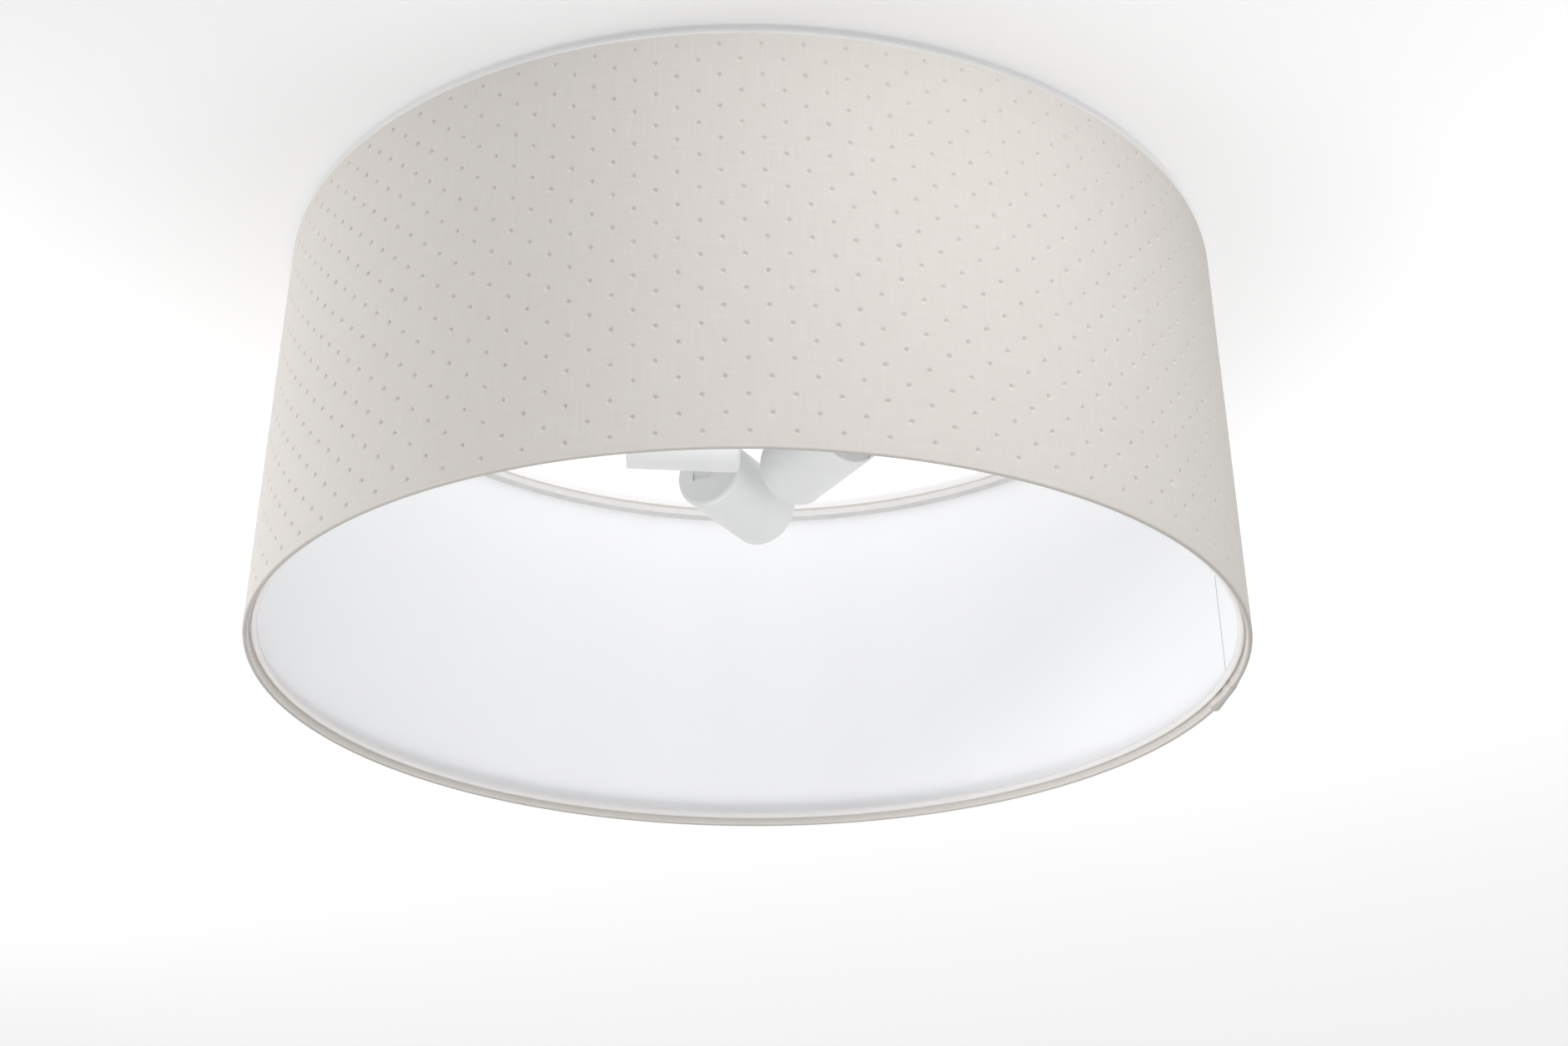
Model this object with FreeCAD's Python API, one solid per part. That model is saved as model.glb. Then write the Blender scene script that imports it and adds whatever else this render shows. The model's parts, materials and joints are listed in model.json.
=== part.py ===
import FreeCAD, Part
import math
import os

# Drum ceiling light: a fabric drum on a wire spider, hung close under the ceiling on a
# hollow stem, with three level lamp sleeves set as a pinwheel inside the drum.
# Millimetres. Origin on the ceiling face, in the middle of the strap; +Z is up.

# Drum shade
shade_bottom_d = 600.0
shade_top_d = 589.0
shade_height = 253.0
ceiling_gap = 5.0
fabric_t = 0.8
lining_t = 0.6
glue_t = 0.05
lip_t = 3.0
lip_h = 8.0
lip_chamfer = 0.9
groove_w = 1.2
web_t = 0.8
bead_w = 3.6
bead_recess = 4.5
bead_chamfer = 0.6
bottom_bead_h = 4.4
top_bead_h = 4.6
bead_run_out = 1.2
ring_wire_d = 2.2
ring_clearance = 0.3
seam_azimuth = 3.5
tape_w = 14.0
tape_t = 0.3
tape_clearance = 0.3

# Spider that carries the drum
spider_plate_d = 52.0
spider_plate_t = 2.0
spoke_d = 3.2
spoke_count = 3
spoke_start_r = 17.0
spoke_knee_r = 85.0
spoke_first_azimuth = 30.0
spoke_clearance = 0.15

# Ceiling strap and canopy
strap_t = 2.0
strap_w = 24.0
strap_length = 112.0
strap_web_l = 68.0
strap_drop = 14.0
slot_spacing = 90.0
slot_length = 12.0
slot_w = 5.0
tab_l = 27.0
tab_reach = 33.0
canopy_d = 120.0
canopy_depth = 31.0
canopy_t = 1.0
canopy_corner_r = 6.0

# Stem and its nuts
stem_d = 13.0
stem_bore_d = 10.4
stem_over_nut = 1.0
nut_sides = 6
stem_nut_af = 17.0
stem_nut_t = 5.0
stem_cap_d = 13.0
stem_cap_t = 2.0
stem_cap_plug_l = 6.0
slide_clearance = 0.3
thread_clearance = 0.1
clamp_nut_d = 28.0
clamp_nut_h = 9.0
clamp_washer_d = 30.0
clamp_washer_t = 1.5
knurl_count = 36
knurl_depth = 0.6

# Lamp sleeves: level, set as a pinwheel about the drum axis, each with its own swing and reach
first_direction = 60.0
direction_step = -120.0
swings = (-1.2, -0.8, 4.0)
arm_reaches = (12.7, 5.9, 16.3)
axis_offset = 32.4
sleeve_drop = 110.0
sleeve_d = 48.0
sleeve_wall = 1.6
sleeve_back_t = 2.0
sleeve_behind = 10.0
sleeve_ahead = 60.0
sleeve_back_r = 3.0
sleeve_mouth_r = 0.6
boss_d = 17.0
boss_rise = 3.0
boss_inner_drop = 2.9
knockout_w = 14.0
knockout_h = 9.0
knockout_aside = 5.0
knockout_depth = 1.4
star_t = 2.5
star_hub_d = 30.0
star_arm_w = 16.0
star_end_d = 20.0
pivot_clearance = 0.05
nipple_d = 10.0
nipple_bore_d = 7.2
nipple_over_nut = 1.0
nipple_nut_af = 14.0
nipple_nut_t = 4.0
swivel_washer_d = 18.0
swivel_washer_t = 1.0

# Screw socket inside each sleeve
socket_fit = 0.3
socket_length = 36.0
socket_mouth_inset = 4.0
socket_floor_t = 6.0
shell_bore_d = 26.6
shell_t = 0.7
shell_length = 21.0
shell_mouth_inset = 2.0
shell_leg_w = 5.0
shell_leg_t = 0.5
contact_w = 6.0
contact_t = 0.5
contact_heel_y = -7.0
contact_tip_y = 3.5
contact_rise = 4.0
contact_seat = 0.25
terminal_head_d = 5.2
terminal_head_h = 2.4
terminal_head_y = 9.0
screw_slot_w = 0.8
screw_slot_depth = 1.0
sleeve_screw_d = 2.5
sleeve_screw_head_d = 5.6
sleeve_screw_head_h = 1.8
sleeve_screw_x = 36.0
sleeve_screw_end_gap = 0.4
hole_clearance = 0.3

# Wiring held inside
flex_d = 4.6
lead_d = 2.6
splice_d = 8.8
splice_length = 14.0
splice_above_run = 18.0
lead_ring_r = 2.6
lead_run_above_nut = 7.5
lead_joint_depth = 6.5
window_clearance = 0.5
window_run_in = 3.2
bend_share = 0.45

# Terminal block under the strap
block_y0 = 17.0
block_w = 14.0
block_h = 13.0
pole_pitch = 9.0
pole_count = 3
pole_drop = 8.0
barrel_d = 5.6
barrel_bore_d = 3.8
barrel_l = 12.0
clamp_screw_d = 3.6
clamp_screw_inset = 3.0
clamp_screw_well_d = 4.4
block_screw_d = 2.6
block_screw_head_d = 4.6
block_screw_head_h = 2.0
earth_screw_x = 22.0
earth_screw_d = 4.0
earth_head_d = 8.0
earth_head_h = 2.6
screw_proud = 1.0

# Heights worked out from the sizes above
top_z = -ceiling_gap
bottom_z = top_z - shade_height
wall_t = fabric_t + glue_t + lining_t
web_top_z = -strap_drop + strap_t
web_bottom_z = -strap_drop
strap_upper_nut_top = web_top_z + stem_nut_t
strap_lower_nut_bottom = web_bottom_z - stem_nut_t
canopy_bottom_z = -canopy_depth
spider_bottom_z = canopy_bottom_z - spider_plate_t
clamp_washer_bottom_z = spider_bottom_z - clamp_washer_t
sleeve_z = -sleeve_drop
sleeve_r = sleeve_d / 2
sleeve_bore_r = sleeve_r - sleeve_wall
boss_top = sleeve_r + boss_rise
boss_inner = sleeve_bore_r - boss_inner_drop
star_bottom = boss_top + swivel_washer_t
star_top = star_bottom + star_t
nipple_top = star_top + nipple_nut_t + nipple_over_nut
nipple_bottom = boss_inner - nipple_nut_t - nipple_over_nut
star_bottom_z = sleeve_z + star_bottom
star_top_z = sleeve_z + star_top
stem_bottom_z = star_bottom_z - stem_nut_t - stem_over_nut
stem_top_z = strap_upper_nut_top + stem_over_nut
lead_run_z = star_top_z + stem_nut_t + lead_run_above_nut
splice_bottom_z = lead_run_z + splice_above_run
splice_top_z = splice_bottom_z + splice_length
lead_joint = nipple_top - lead_joint_depth
pole_z = web_bottom_z - pole_drop
socket_front = sleeve_ahead - socket_mouth_inset
socket_back = socket_front - socket_length
socket_floor = socket_back + socket_floor_t
socket_r = sleeve_bore_r - socket_fit
shell_outer_r = shell_bore_d / 2 + shell_t
socket_bore_r = shell_outer_r + socket_fit

O = FreeCAD.Vector(0, 0, 0)
UP = FreeCAD.Vector(0, 0, 1)
AHEAD = FreeCAD.Vector(1, 0, 0)


def vec(x, y, z):
    return FreeCAD.Vector(x, y, z)


def polar(radius, azimuth, z):
    angle = math.radians(azimuth)
    return vec(radius * math.cos(angle), radius * math.sin(angle), z)


def post(diameter, z_low, z_high, x=0.0, y=0.0):
    return Part.makeCylinder(diameter / 2, z_high - z_low, vec(x, y, z_low), UP)


def rod_x(radius, x_low, x_high, y=0.0, z=0.0):
    return Part.makeCylinder(radius, x_high - x_low, vec(x_low, y, z), AHEAD)


def ring(outer_d, inner_d, z_low, z_high):
    return post(outer_d, z_low, z_high).cut(post(inner_d, z_low, z_high))


def block(x0, x1, y0, y1, z0, z1):
    return Part.makeBox(x1 - x0, y1 - y0, z1 - z0, vec(x0, y0, z0))


def spun(face, turn=360.0):
    return face.revolve(O, UP, turn)


def line(a, b):
    return Part.LineSegment(a, b).toShape()


def arc(a, middle, b):
    return Part.Arc(a, middle, b).toShape()


def patch(points):
    return Part.Face(Part.makePolygon(points + points[:1]))


def prism(points, height):
    return patch(points).extrude(UP * height)


def hexagon_nut(across_flats, bore_d, z_low, z_high):
    corner_r = across_flats / math.sqrt(3)
    side_turn = 360.0 / nut_sides
    corners = [polar(corner_r, side_turn * (k + 0.5), z_low) for k in range(nut_sides)]
    return prism(corners, z_high - z_low).cut(post(bore_d, z_low, z_high))


def slot_cut(width, depth, length, z_top, x=0.0, y=0.0):
    return block(x - length / 2, x + length / 2, y - width / 2, y + width / 2, z_top - depth, z_top)


def rounded_route(points):
    # Straight runs joined by tangent arcs, each as large as its two runs allow.
    edges = []
    start = points[0]
    for before, corner, after in zip(points, points[1:], points[2:]):
        back = before - corner
        onward = after - corner
        shorter = min(back.Length, onward.Length)
        back.normalize()
        onward.normalize()
        reach = bend_share * shorter
        half_turn = (math.pi - back.getAngle(onward)) / 2
        radius = reach / math.tan(half_turn)
        middle_way = back + onward
        middle_way.normalize()
        middle = corner + middle_way * (radius / math.cos(half_turn) - radius)
        entry = corner + back * reach
        leave = corner + onward * reach
        edges.append(line(start, entry))
        edges.append(arc(entry, middle, leave))
        start = leave
    edges.append(line(start, points[-1]))
    return Part.Wire(edges)


def cord(name, points, diameter):
    route = rounded_route(points)
    heading = points[1] - points[0]
    section = Part.Wire(Part.Circle(points[0], heading, diameter / 2).toShape())
    solid = route.makePipeShell([section], True, False)
    radii = [round(e.Curve.Radius, 1) for e in route.Edges if hasattr(e.Curve, "Radius")]
    print(name, "length", round(route.Length, 1), "radii", radii)
    return solid


def save(name, shape):
    shape.exportStep("parts/" + name + ".step")


def wall_r(z):
    share = (z - bottom_z) / shade_height
    return (shade_bottom_d + (shade_top_d - shade_bottom_d) * share) / 2


# Drum wall: outer fabric laminated on a lining
def wall_layer(inset, thickness):
    low = bottom_z + lip_h
    high = top_z - lip_h
    outline = [
        vec(wall_r(low) - inset, 0, low),
        vec(wall_r(high) - inset, 0, high),
        vec(wall_r(high) - inset - thickness, 0, high),
        vec(wall_r(low) - inset - thickness, 0, low),
    ]
    return spun(patch(outline))


def rim_point(edge_z, into, inset, height):
    z = edge_z + into * height
    return vec(wall_r(z) - inset, 0, z)


# Rolled rim: folded lip, shadow groove, and the bead whose pocket holds the wire ring
bead_out = lip_t + groove_w
bead_mid = bead_out + bead_w / 2
bead_in = bead_out + bead_w


def wire_height(bead_h):
    return bead_recess + bead_h / 2


def rim_roll(edge_z, into, bead_h):
    over = bead_recess + bead_h
    lining_face = wall_t + glue_t
    corners = [
        (0, lip_h),
        (0, lip_chamfer),
        (lip_chamfer, 0),
        (lip_t - lip_chamfer, 0),
        (lip_t, lip_chamfer),
        (lip_t, lip_h - web_t),
        (bead_out, lip_h - web_t),
        (bead_out, bead_recess + bead_chamfer),
        (bead_out + bead_chamfer, bead_recess),
        (bead_in - bead_chamfer, bead_recess),
        (bead_in, bead_recess + bead_chamfer),
        (bead_in, over),
        (lining_face, over + bead_run_out),
        (lining_face, lip_h),
    ]
    section = patch([rim_point(edge_z, into, inset, height) for inset, height in corners])
    path_r = ring_path_r(edge_z, into, bead_h)
    path_z = edge_z + into * wire_height(bead_h)
    reach = ring_wire_d / 2 + ring_clearance
    pocket = ring(2 * (path_r + reach), 2 * (path_r - reach), path_z - reach, path_z + reach)
    return spun(section).cut(pocket)


def ring_path_r(edge_z, into, bead_h):
    return rim_point(edge_z, into, bead_mid, wire_height(bead_h)).x


def wire_ring(edge_z, into, bead_h):
    centre = vec(0, 0, edge_z + into * wire_height(bead_h))
    return Part.makeTorus(ring_path_r(edge_z, into, bead_h), ring_wire_d / 2, centre, UP)


def seam_tape():
    low = bottom_z + bead_recess + bottom_bead_h + bead_run_out
    high = top_z - bead_recess - top_bead_h - bead_run_out
    near = wall_t + tape_clearance
    outline = [
        vec(wall_r(low) - near, 0, low),
        vec(wall_r(high) - near, 0, high),
        vec(wall_r(high) - near - tape_t, 0, high),
        vec(wall_r(low) - near - tape_t, 0, low),
    ]
    width = math.degrees(tape_w / wall_r(low))
    tape = spun(patch(outline), width)
    tape.rotate(O, UP, seam_azimuth - width / 2)
    return tape


# Spider: a clamped plate, three bent spokes welded from it to the top ring
def spoke(diameter, azimuth):
    ring_z = top_z - wire_height(top_bead_h)
    end_r = ring_path_r(top_z, -1, top_bead_h) - ring_wire_d / 2 - ring_clearance
    level = spider_bottom_z - spoke_d / 2
    start = vec(spoke_start_r, 0, level)
    route = rounded_route([start, vec(spoke_knee_r, 0, level), vec(end_r, 0, ring_z)])
    section = Part.Wire(Part.Circle(start, AHEAD, diameter / 2).toShape())
    wire = route.makePipeShell([section], True, False)
    wire.rotate(O, UP, azimuth)
    return wire


spoke_azimuths = [spoke_first_azimuth + 360.0 / spoke_count * k for k in range(spoke_count)]
stem_hole_d = stem_d + 2 * slide_clearance


def spider_plate():
    return ring(spider_plate_d, stem_hole_d, spider_bottom_z, canopy_bottom_z)


def top_roll():
    roll = rim_roll(top_z, -1, top_bead_h)
    for azimuth in spoke_azimuths:
        roll = roll.cut(spoke(spoke_d + 2 * spoke_clearance, azimuth))
    return roll


# Knurled nut and washer that clamp spider and canopy up against the ceiling
def clamp_nut():
    low = clamp_washer_bottom_z - clamp_nut_h
    points = []
    for k in range(2 * knurl_count):
        dip = knurl_depth * (k % 2)
        points.append(polar(clamp_nut_d / 2 - dip, 180.0 / knurl_count * k, low))
    bore = post(stem_d + 2 * thread_clearance, low, clamp_washer_bottom_z)
    return prism(points, clamp_nut_h).cut(bore)


def clamp_washer():
    return ring(clamp_washer_d, stem_hole_d, clamp_washer_bottom_z, spider_bottom_z)


# Ceiling cup
def canopy():
    r = canopy_d / 2
    c = canopy_corner_r
    t = canopy_t
    i = c - t
    k = math.sqrt(0.5)
    low = canopy_bottom_z
    hole = stem_hole_d / 2
    edges = [
        line(vec(hole, 0, low), vec(r - c, 0, low)),
        arc(vec(r - c, 0, low), vec(r - c + c * k, 0, low + c - c * k), vec(r, 0, low + c)),
        line(vec(r, 0, low + c), vec(r, 0, 0)),
        line(vec(r, 0, 0), vec(r - t, 0, 0)),
        line(vec(r - t, 0, 0), vec(r - t, 0, low + c)),
        arc(vec(r - t, 0, low + c), vec(r - c + i * k, 0, low + c - i * k), vec(r - c, 0, low + t)),
        line(vec(r - c, 0, low + t), vec(hole, 0, low + t)),
        line(vec(hole, 0, low + t), vec(hole, 0, low)),
    ]
    return spun(Part.Face(Part.Wire(edges)))


block_screw_x = pole_pitch / 2
block_screw_y = block_y0 + block_w / 2


# Ceiling strap: hat-shaped strip with slotted feet and a side tab for the terminal block
def ceiling_strap():
    half = strap_length / 2
    web = strap_web_l / 2
    side = strap_w / 2
    outline = [
        vec(-half, -side, 0), vec(-web + strap_t, -side, 0), vec(-web + strap_t, -side, web_top_z),
        vec(web - strap_t, -side, web_top_z), vec(web - strap_t, -side, 0), vec(half, -side, 0),
        vec(half, -side, -strap_t), vec(web, -side, -strap_t), vec(web, -side, web_bottom_z),
        vec(-web, -side, web_bottom_z), vec(-web, -side, -strap_t), vec(-half, -side, -strap_t),
    ]
    strap = patch(outline).extrude(vec(0, strap_w, 0))
    tab = block(-tab_l / 2, tab_l / 2, side, tab_reach, web_bottom_z, web_top_z)
    strap = strap.fuse(tab).removeSplitter()
    strap = strap.cut(post(stem_d + 2 * thread_clearance, web_bottom_z, web_top_z))
    strap = strap.cut(post(earth_screw_d, web_bottom_z, web_top_z, earth_screw_x))
    strap = strap.cut(post(block_screw_d, web_bottom_z, web_top_z, block_screw_x, block_screw_y))
    for x in (-slot_spacing / 2, slot_spacing / 2):
        straight = slot_length - slot_w
        strap = strap.cut(block(x - straight / 2, x + straight / 2, -slot_w / 2, slot_w / 2, -strap_t, 0))
        strap = strap.cut(post(slot_w, -strap_t, 0, x - straight / 2))
        strap = strap.cut(post(slot_w, -strap_t, 0, x + straight / 2))
    return strap


def slotted_head(diameter, z_low, z_high, x=0.0, y=0.0):
    # A head whose driver slot opens downwards.
    head = post(diameter, z_low, z_high, x, y)
    return head.cut(slot_cut(screw_slot_w, screw_slot_depth, diameter, z_low + screw_slot_depth, x, y))


def earth_screw():
    head = slotted_head(earth_head_d, web_bottom_z - earth_head_h, web_bottom_z, earth_screw_x)
    shank = post(earth_screw_d - 2 * thread_clearance, web_bottom_z, web_top_z + screw_proud, earth_screw_x)
    return head.fuse(shank)


# Terminal block with brass barrels and clamp screws
pole_xs = [pole_pitch * (k - (pole_count - 1) / 2) for k in range(pole_count)]
block_y1 = block_y0 + block_w
block_bottom_z = web_bottom_z - block_h
block_screw_head_top = block_bottom_z + block_screw_head_h
clamp_screw_ys = [block_y0 + clamp_screw_inset, block_y1 - clamp_screw_inset]
barrel_y0 = block_y0 + (block_w - barrel_l) / 2
ALONG_Y = FreeCAD.Vector(0, 1, 0)


def rod_y(diameter, y_low, y_high, x, z):
    return Part.makeCylinder(diameter / 2, y_high - y_low, vec(x, y_low, z), ALONG_Y)


def terminal_block():
    body = block(-tab_l / 2, tab_l / 2, block_y0, block_y1, block_bottom_z, web_bottom_z)
    for x in pole_xs:
        body = body.cut(rod_y(barrel_bore_d, block_y0, block_y1, x, pole_z))
        body = body.cut(rod_y(barrel_d + 2 * thread_clearance, barrel_y0, barrel_y0 + barrel_l, x, pole_z))
        for y in clamp_screw_ys:
            body = body.cut(post(clamp_screw_well_d, block_bottom_z, pole_z, x, y))
    shank_hole_d = block_screw_d + 2 * thread_clearance
    head_well_d = block_screw_head_d + 2 * hole_clearance
    body = body.cut(post(shank_hole_d, block_bottom_z, web_bottom_z, block_screw_x, block_screw_y))
    return body.cut(post(head_well_d, block_bottom_z, block_screw_head_top, block_screw_x, block_screw_y))


def terminal_barrels():
    barrels = []
    for x in pole_xs:
        barrel = rod_y(barrel_d, barrel_y0, barrel_y0 + barrel_l, x, pole_z)
        barrel = barrel.cut(rod_y(barrel_bore_d, barrel_y0, barrel_y0 + barrel_l, x, pole_z))
        for y in clamp_screw_ys:
            barrel = barrel.cut(post(clamp_screw_d + 2 * thread_clearance, block_bottom_z, pole_z, x, y))
        barrels.append(barrel)
    return Part.makeCompound(barrels)


def terminal_screws():
    low = block_bottom_z + screw_proud
    screws = [slotted_head(clamp_screw_d, low, pole_z, x, y) for x in pole_xs for y in clamp_screw_ys]
    return Part.makeCompound(screws)


def block_screw():
    x = block_screw_x
    y = block_screw_y
    head = slotted_head(block_screw_head_d, block_bottom_z, block_screw_head_top, x, y)
    shank_d = block_screw_d - 2 * thread_clearance
    return head.fuse(post(shank_d, block_screw_head_top, web_top_z + screw_proud, x, y))


# Lamp sleeves stand on three swivel axes around the stem
def direction(index):
    return first_direction + direction_step * index


def swivel_point(index):
    angle = direction(index)
    return polar(axis_offset, angle + 90.0, 0) + polar(arm_reaches[index], angle, 0)


def swivel_azimuth(index):
    point = swivel_point(index)
    return math.degrees(math.atan2(point.y, point.x))


def rest_direction(index):
    return direction(index) + swings[index]


holders = range(len(swings))


def star_plate():
    plate = post(star_hub_d, star_bottom_z, star_top_z)
    for index in holders:
        point = swivel_point(index)
        arm = block(0, point.Length, -star_arm_w / 2, star_arm_w / 2, star_bottom_z, star_top_z)
        arm.rotate(O, UP, swivel_azimuth(index))
        plate = plate.fuse(arm)
        plate = plate.fuse(post(star_end_d, star_bottom_z, star_top_z, point.x, point.y))
    plate = plate.removeSplitter()
    for index in holders:
        point = swivel_point(index)
        pivot_hole_d = nipple_d + 2 * pivot_clearance
        plate = plate.cut(post(pivot_hole_d, star_bottom_z, star_top_z, point.x, point.y))
    return plate.cut(post(stem_d + 2 * thread_clearance, star_bottom_z, star_top_z))


# Hollow stem with one window for the flex and one for each lamp lead
lead_window_w = lead_d + 2 * window_clearance
flex_window_w = flex_d + 2 * window_clearance


def stem():
    tube = post(stem_d, stem_bottom_z, stem_top_z).cut(post(stem_bore_d, stem_bottom_z, stem_top_z))
    half = flex_window_w / 2
    flex_top = min(pole_z + half, strap_lower_nut_bottom)
    tube = tube.cut(block(-half, half, 0, stem_d, pole_z - half - window_run_in, flex_top))
    half = lead_window_w / 2
    for index in holders:
        window = block(0, stem_d, -half, half, lead_run_z - half, lead_run_z + half + window_run_in)
        window.rotate(O, UP, swivel_azimuth(index))
        tube = tube.cut(window)
    return tube


def stem_nuts():
    levels = [web_top_z, strap_lower_nut_bottom, star_top_z, star_bottom_z - stem_nut_t]
    bore = stem_d + 2 * thread_clearance
    return Part.makeCompound([hexagon_nut(stem_nut_af, bore, z, z + stem_nut_t) for z in levels])


def stem_cap():
    flange = post(stem_cap_d, stem_bottom_z - stem_cap_t, stem_bottom_z)
    plug = post(stem_bore_d - 2 * thread_clearance, stem_bottom_z, stem_bottom_z + stem_cap_plug_l)
    middle_z = stem_bottom_z - stem_cap_t / 2
    lower_edges = [e for e in flange.Edges if e.BoundBox.ZMax < middle_z]
    flange = flange.makeFillet(stem_cap_t / 2, lower_edges)
    return flange.fuse(plug).removeSplitter()


# Wiring: a flex from the terminal block into the stem, a splice, and one lead per lamp
def main_flex():
    route = [vec(0, block_y0, pole_z), vec(0, 0, pole_z), vec(0, 0, splice_top_z)]
    return cord("main_flex", route, flex_d)


def splice_cap():
    return post(splice_d, splice_bottom_z, splice_top_z)


def lamp_lead(index):
    azimuth = swivel_azimuth(index)
    drop = swivel_point(index)
    route = [
        polar(lead_ring_r, azimuth, splice_bottom_z),
        polar(lead_ring_r, azimuth, lead_run_z),
        drop + UP * lead_run_z,
        drop + UP * (sleeve_z + lead_joint),
    ]
    return cord("lamp_lead", route, lead_d)


# One lamp holder, drawn pointing along +X with its swivel axis through the origin
def sleeve():
    body = rod_x(sleeve_r, -sleeve_behind, sleeve_ahead)
    body = body.makeFillet(sleeve_back_r, [e for e in body.Edges if e.BoundBox.XMax < 0])
    body = body.makeFillet(sleeve_mouth_r, [e for e in body.Edges if e.BoundBox.XMin > socket_front])
    body = body.fuse(post(boss_d, 0, boss_top))
    body = body.cut(rod_x(sleeve_bore_r, sleeve_back_t - sleeve_behind, sleeve_ahead))
    body = body.fuse(post(boss_d, boss_inner, sleeve_bore_r)).removeSplitter()
    body = body.cut(post(nipple_d + 2 * thread_clearance, boss_inner, boss_top))
    knockout = Part.makeBox(knockout_depth, knockout_w, knockout_h)
    knockout.translate(vec(-sleeve_behind, knockout_aside - knockout_w / 2, -knockout_h / 2))
    body = body.cut(knockout)
    return body.cut(post(sleeve_screw_d + 2 * hole_clearance, 0, sleeve_r, sleeve_screw_x))


def nipple():
    return ring(nipple_d, nipple_bore_d, nipple_bottom, nipple_top)


def nipple_nuts():
    bore = nipple_d + 2 * thread_clearance
    upper = hexagon_nut(nipple_nut_af, bore, star_top, star_top + nipple_nut_t)
    lower = hexagon_nut(nipple_nut_af, bore, boss_inner - nipple_nut_t, boss_inner)
    return Part.makeCompound([upper, lower])


def swivel_washer():
    return ring(swivel_washer_d, nipple_d + 2 * thread_clearance, boss_top, star_bottom)


def lead_tail():
    return cord("lead_tail", [vec(0, 0, lead_joint), O, vec(socket_back, 0, 0)], lead_d)


def socket_body():
    body = rod_x(socket_r, socket_back, socket_front)
    body = body.cut(rod_x(socket_bore_r, socket_floor, socket_front))
    screw_hole_d = sleeve_screw_d + 2 * thread_clearance
    return body.cut(post(screw_hole_d, socket_bore_r / 2, sleeve_r, sleeve_screw_x))


def screw_shell():
    front = socket_front - shell_mouth_inset
    back = front - shell_length
    shell = rod_x(shell_outer_r, back, front).cut(rod_x(shell_bore_d / 2, back, front))
    leg = rod_x(shell_outer_r, socket_floor, back)
    leg = leg.cut(rod_x(shell_outer_r - shell_leg_t, socket_floor, back))
    leg = leg.common(block(socket_floor, back, -shell_leg_w / 2, shell_leg_w / 2, -shell_outer_r, 0))
    return shell.fuse(leg).removeSplitter()


def centre_contact():
    heel = socket_floor + contact_seat
    tip = heel + contact_rise
    low = -contact_w / 2
    points = [
        vec(heel, contact_heel_y, low),
        vec(tip, contact_tip_y / 2, low),
        vec(tip - contact_t, contact_tip_y, low),
        vec(tip, contact_tip_y, low),
        vec(tip + contact_t, contact_tip_y / 2, low),
        vec(heel + contact_t, contact_heel_y, low),
    ]
    return prism(points, contact_w)


def socket_screws():
    heads = []
    for y in (-terminal_head_y, terminal_head_y):
        head = rod_x(terminal_head_d / 2, socket_back - terminal_head_h, socket_back, y)
        slot = Part.makeBox(screw_slot_depth, terminal_head_d, screw_slot_w)
        slot.translate(vec(socket_back - terminal_head_h, y - terminal_head_d / 2, -screw_slot_w / 2))
        heads.append(head.cut(slot))
    return Part.makeCompound(heads)


def sleeve_screw():
    top = sleeve_r + sleeve_screw_head_h
    head = post(sleeve_screw_head_d, sleeve_r, top, sleeve_screw_x)
    head = head.cut(slot_cut(screw_slot_w, screw_slot_depth, sleeve_screw_head_d, top, sleeve_screw_x))
    return head.fuse(post(sleeve_screw_d, socket_bore_r + sleeve_screw_end_gap, sleeve_r, sleeve_screw_x))


os.makedirs("parts", exist_ok=True)

save("shade_fabric", wall_layer(0, fabric_t))
save("shade_lining", wall_layer(fabric_t + glue_t, lining_t))
save("bottom_roll", rim_roll(bottom_z, 1, bottom_bead_h))
save("top_roll", top_roll())
save("bottom_ring", wire_ring(bottom_z, 1, bottom_bead_h))
save("top_ring", wire_ring(top_z, -1, top_bead_h))
save("seam_tape", seam_tape())
save("spider_plate", spider_plate())
for number, azimuth in enumerate(spoke_azimuths, 1):
    save("spoke_%d" % number, spoke(spoke_d, azimuth))
save("clamp_nut", clamp_nut())
save("clamp_washer", clamp_washer())
save("canopy", canopy())
save("ceiling_strap", ceiling_strap())
save("earth_screw", earth_screw())
save("terminal_block", terminal_block())
save("terminal_barrels", terminal_barrels())
save("terminal_screws", terminal_screws())
save("block_screw", block_screw())
save("stem", stem())
save("stem_nuts", stem_nuts())
save("stem_cap", stem_cap())
save("star_plate", star_plate())
save("main_flex", main_flex())
save("splice_cap", splice_cap())

holder_pieces = {
    "sleeve": sleeve(),
    "nipple": nipple(),
    "nipple_nuts": nipple_nuts(),
    "swivel_washer": swivel_washer(),
    "lead_tail": lead_tail(),
    "socket_body": socket_body(),
    "screw_shell": screw_shell(),
    "centre_contact": centre_contact(),
    "socket_screws": socket_screws(),
    "sleeve_screw": sleeve_screw(),
}
for index in holders:
    save("lamp_lead_%d" % (index + 1), lamp_lead(index))
    place = swivel_point(index) + vec(0, 0, sleeve_z)
    for name, piece in holder_pieces.items():
        placed = piece.copy()
        placed.rotate(O, UP, rest_direction(index))
        placed.translate(place)
        save("%s_%d" % (name, index + 1), placed)
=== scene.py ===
import json
import math
import random

import bmesh
import bpy
from mathutils import Matrix, Vector


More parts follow.
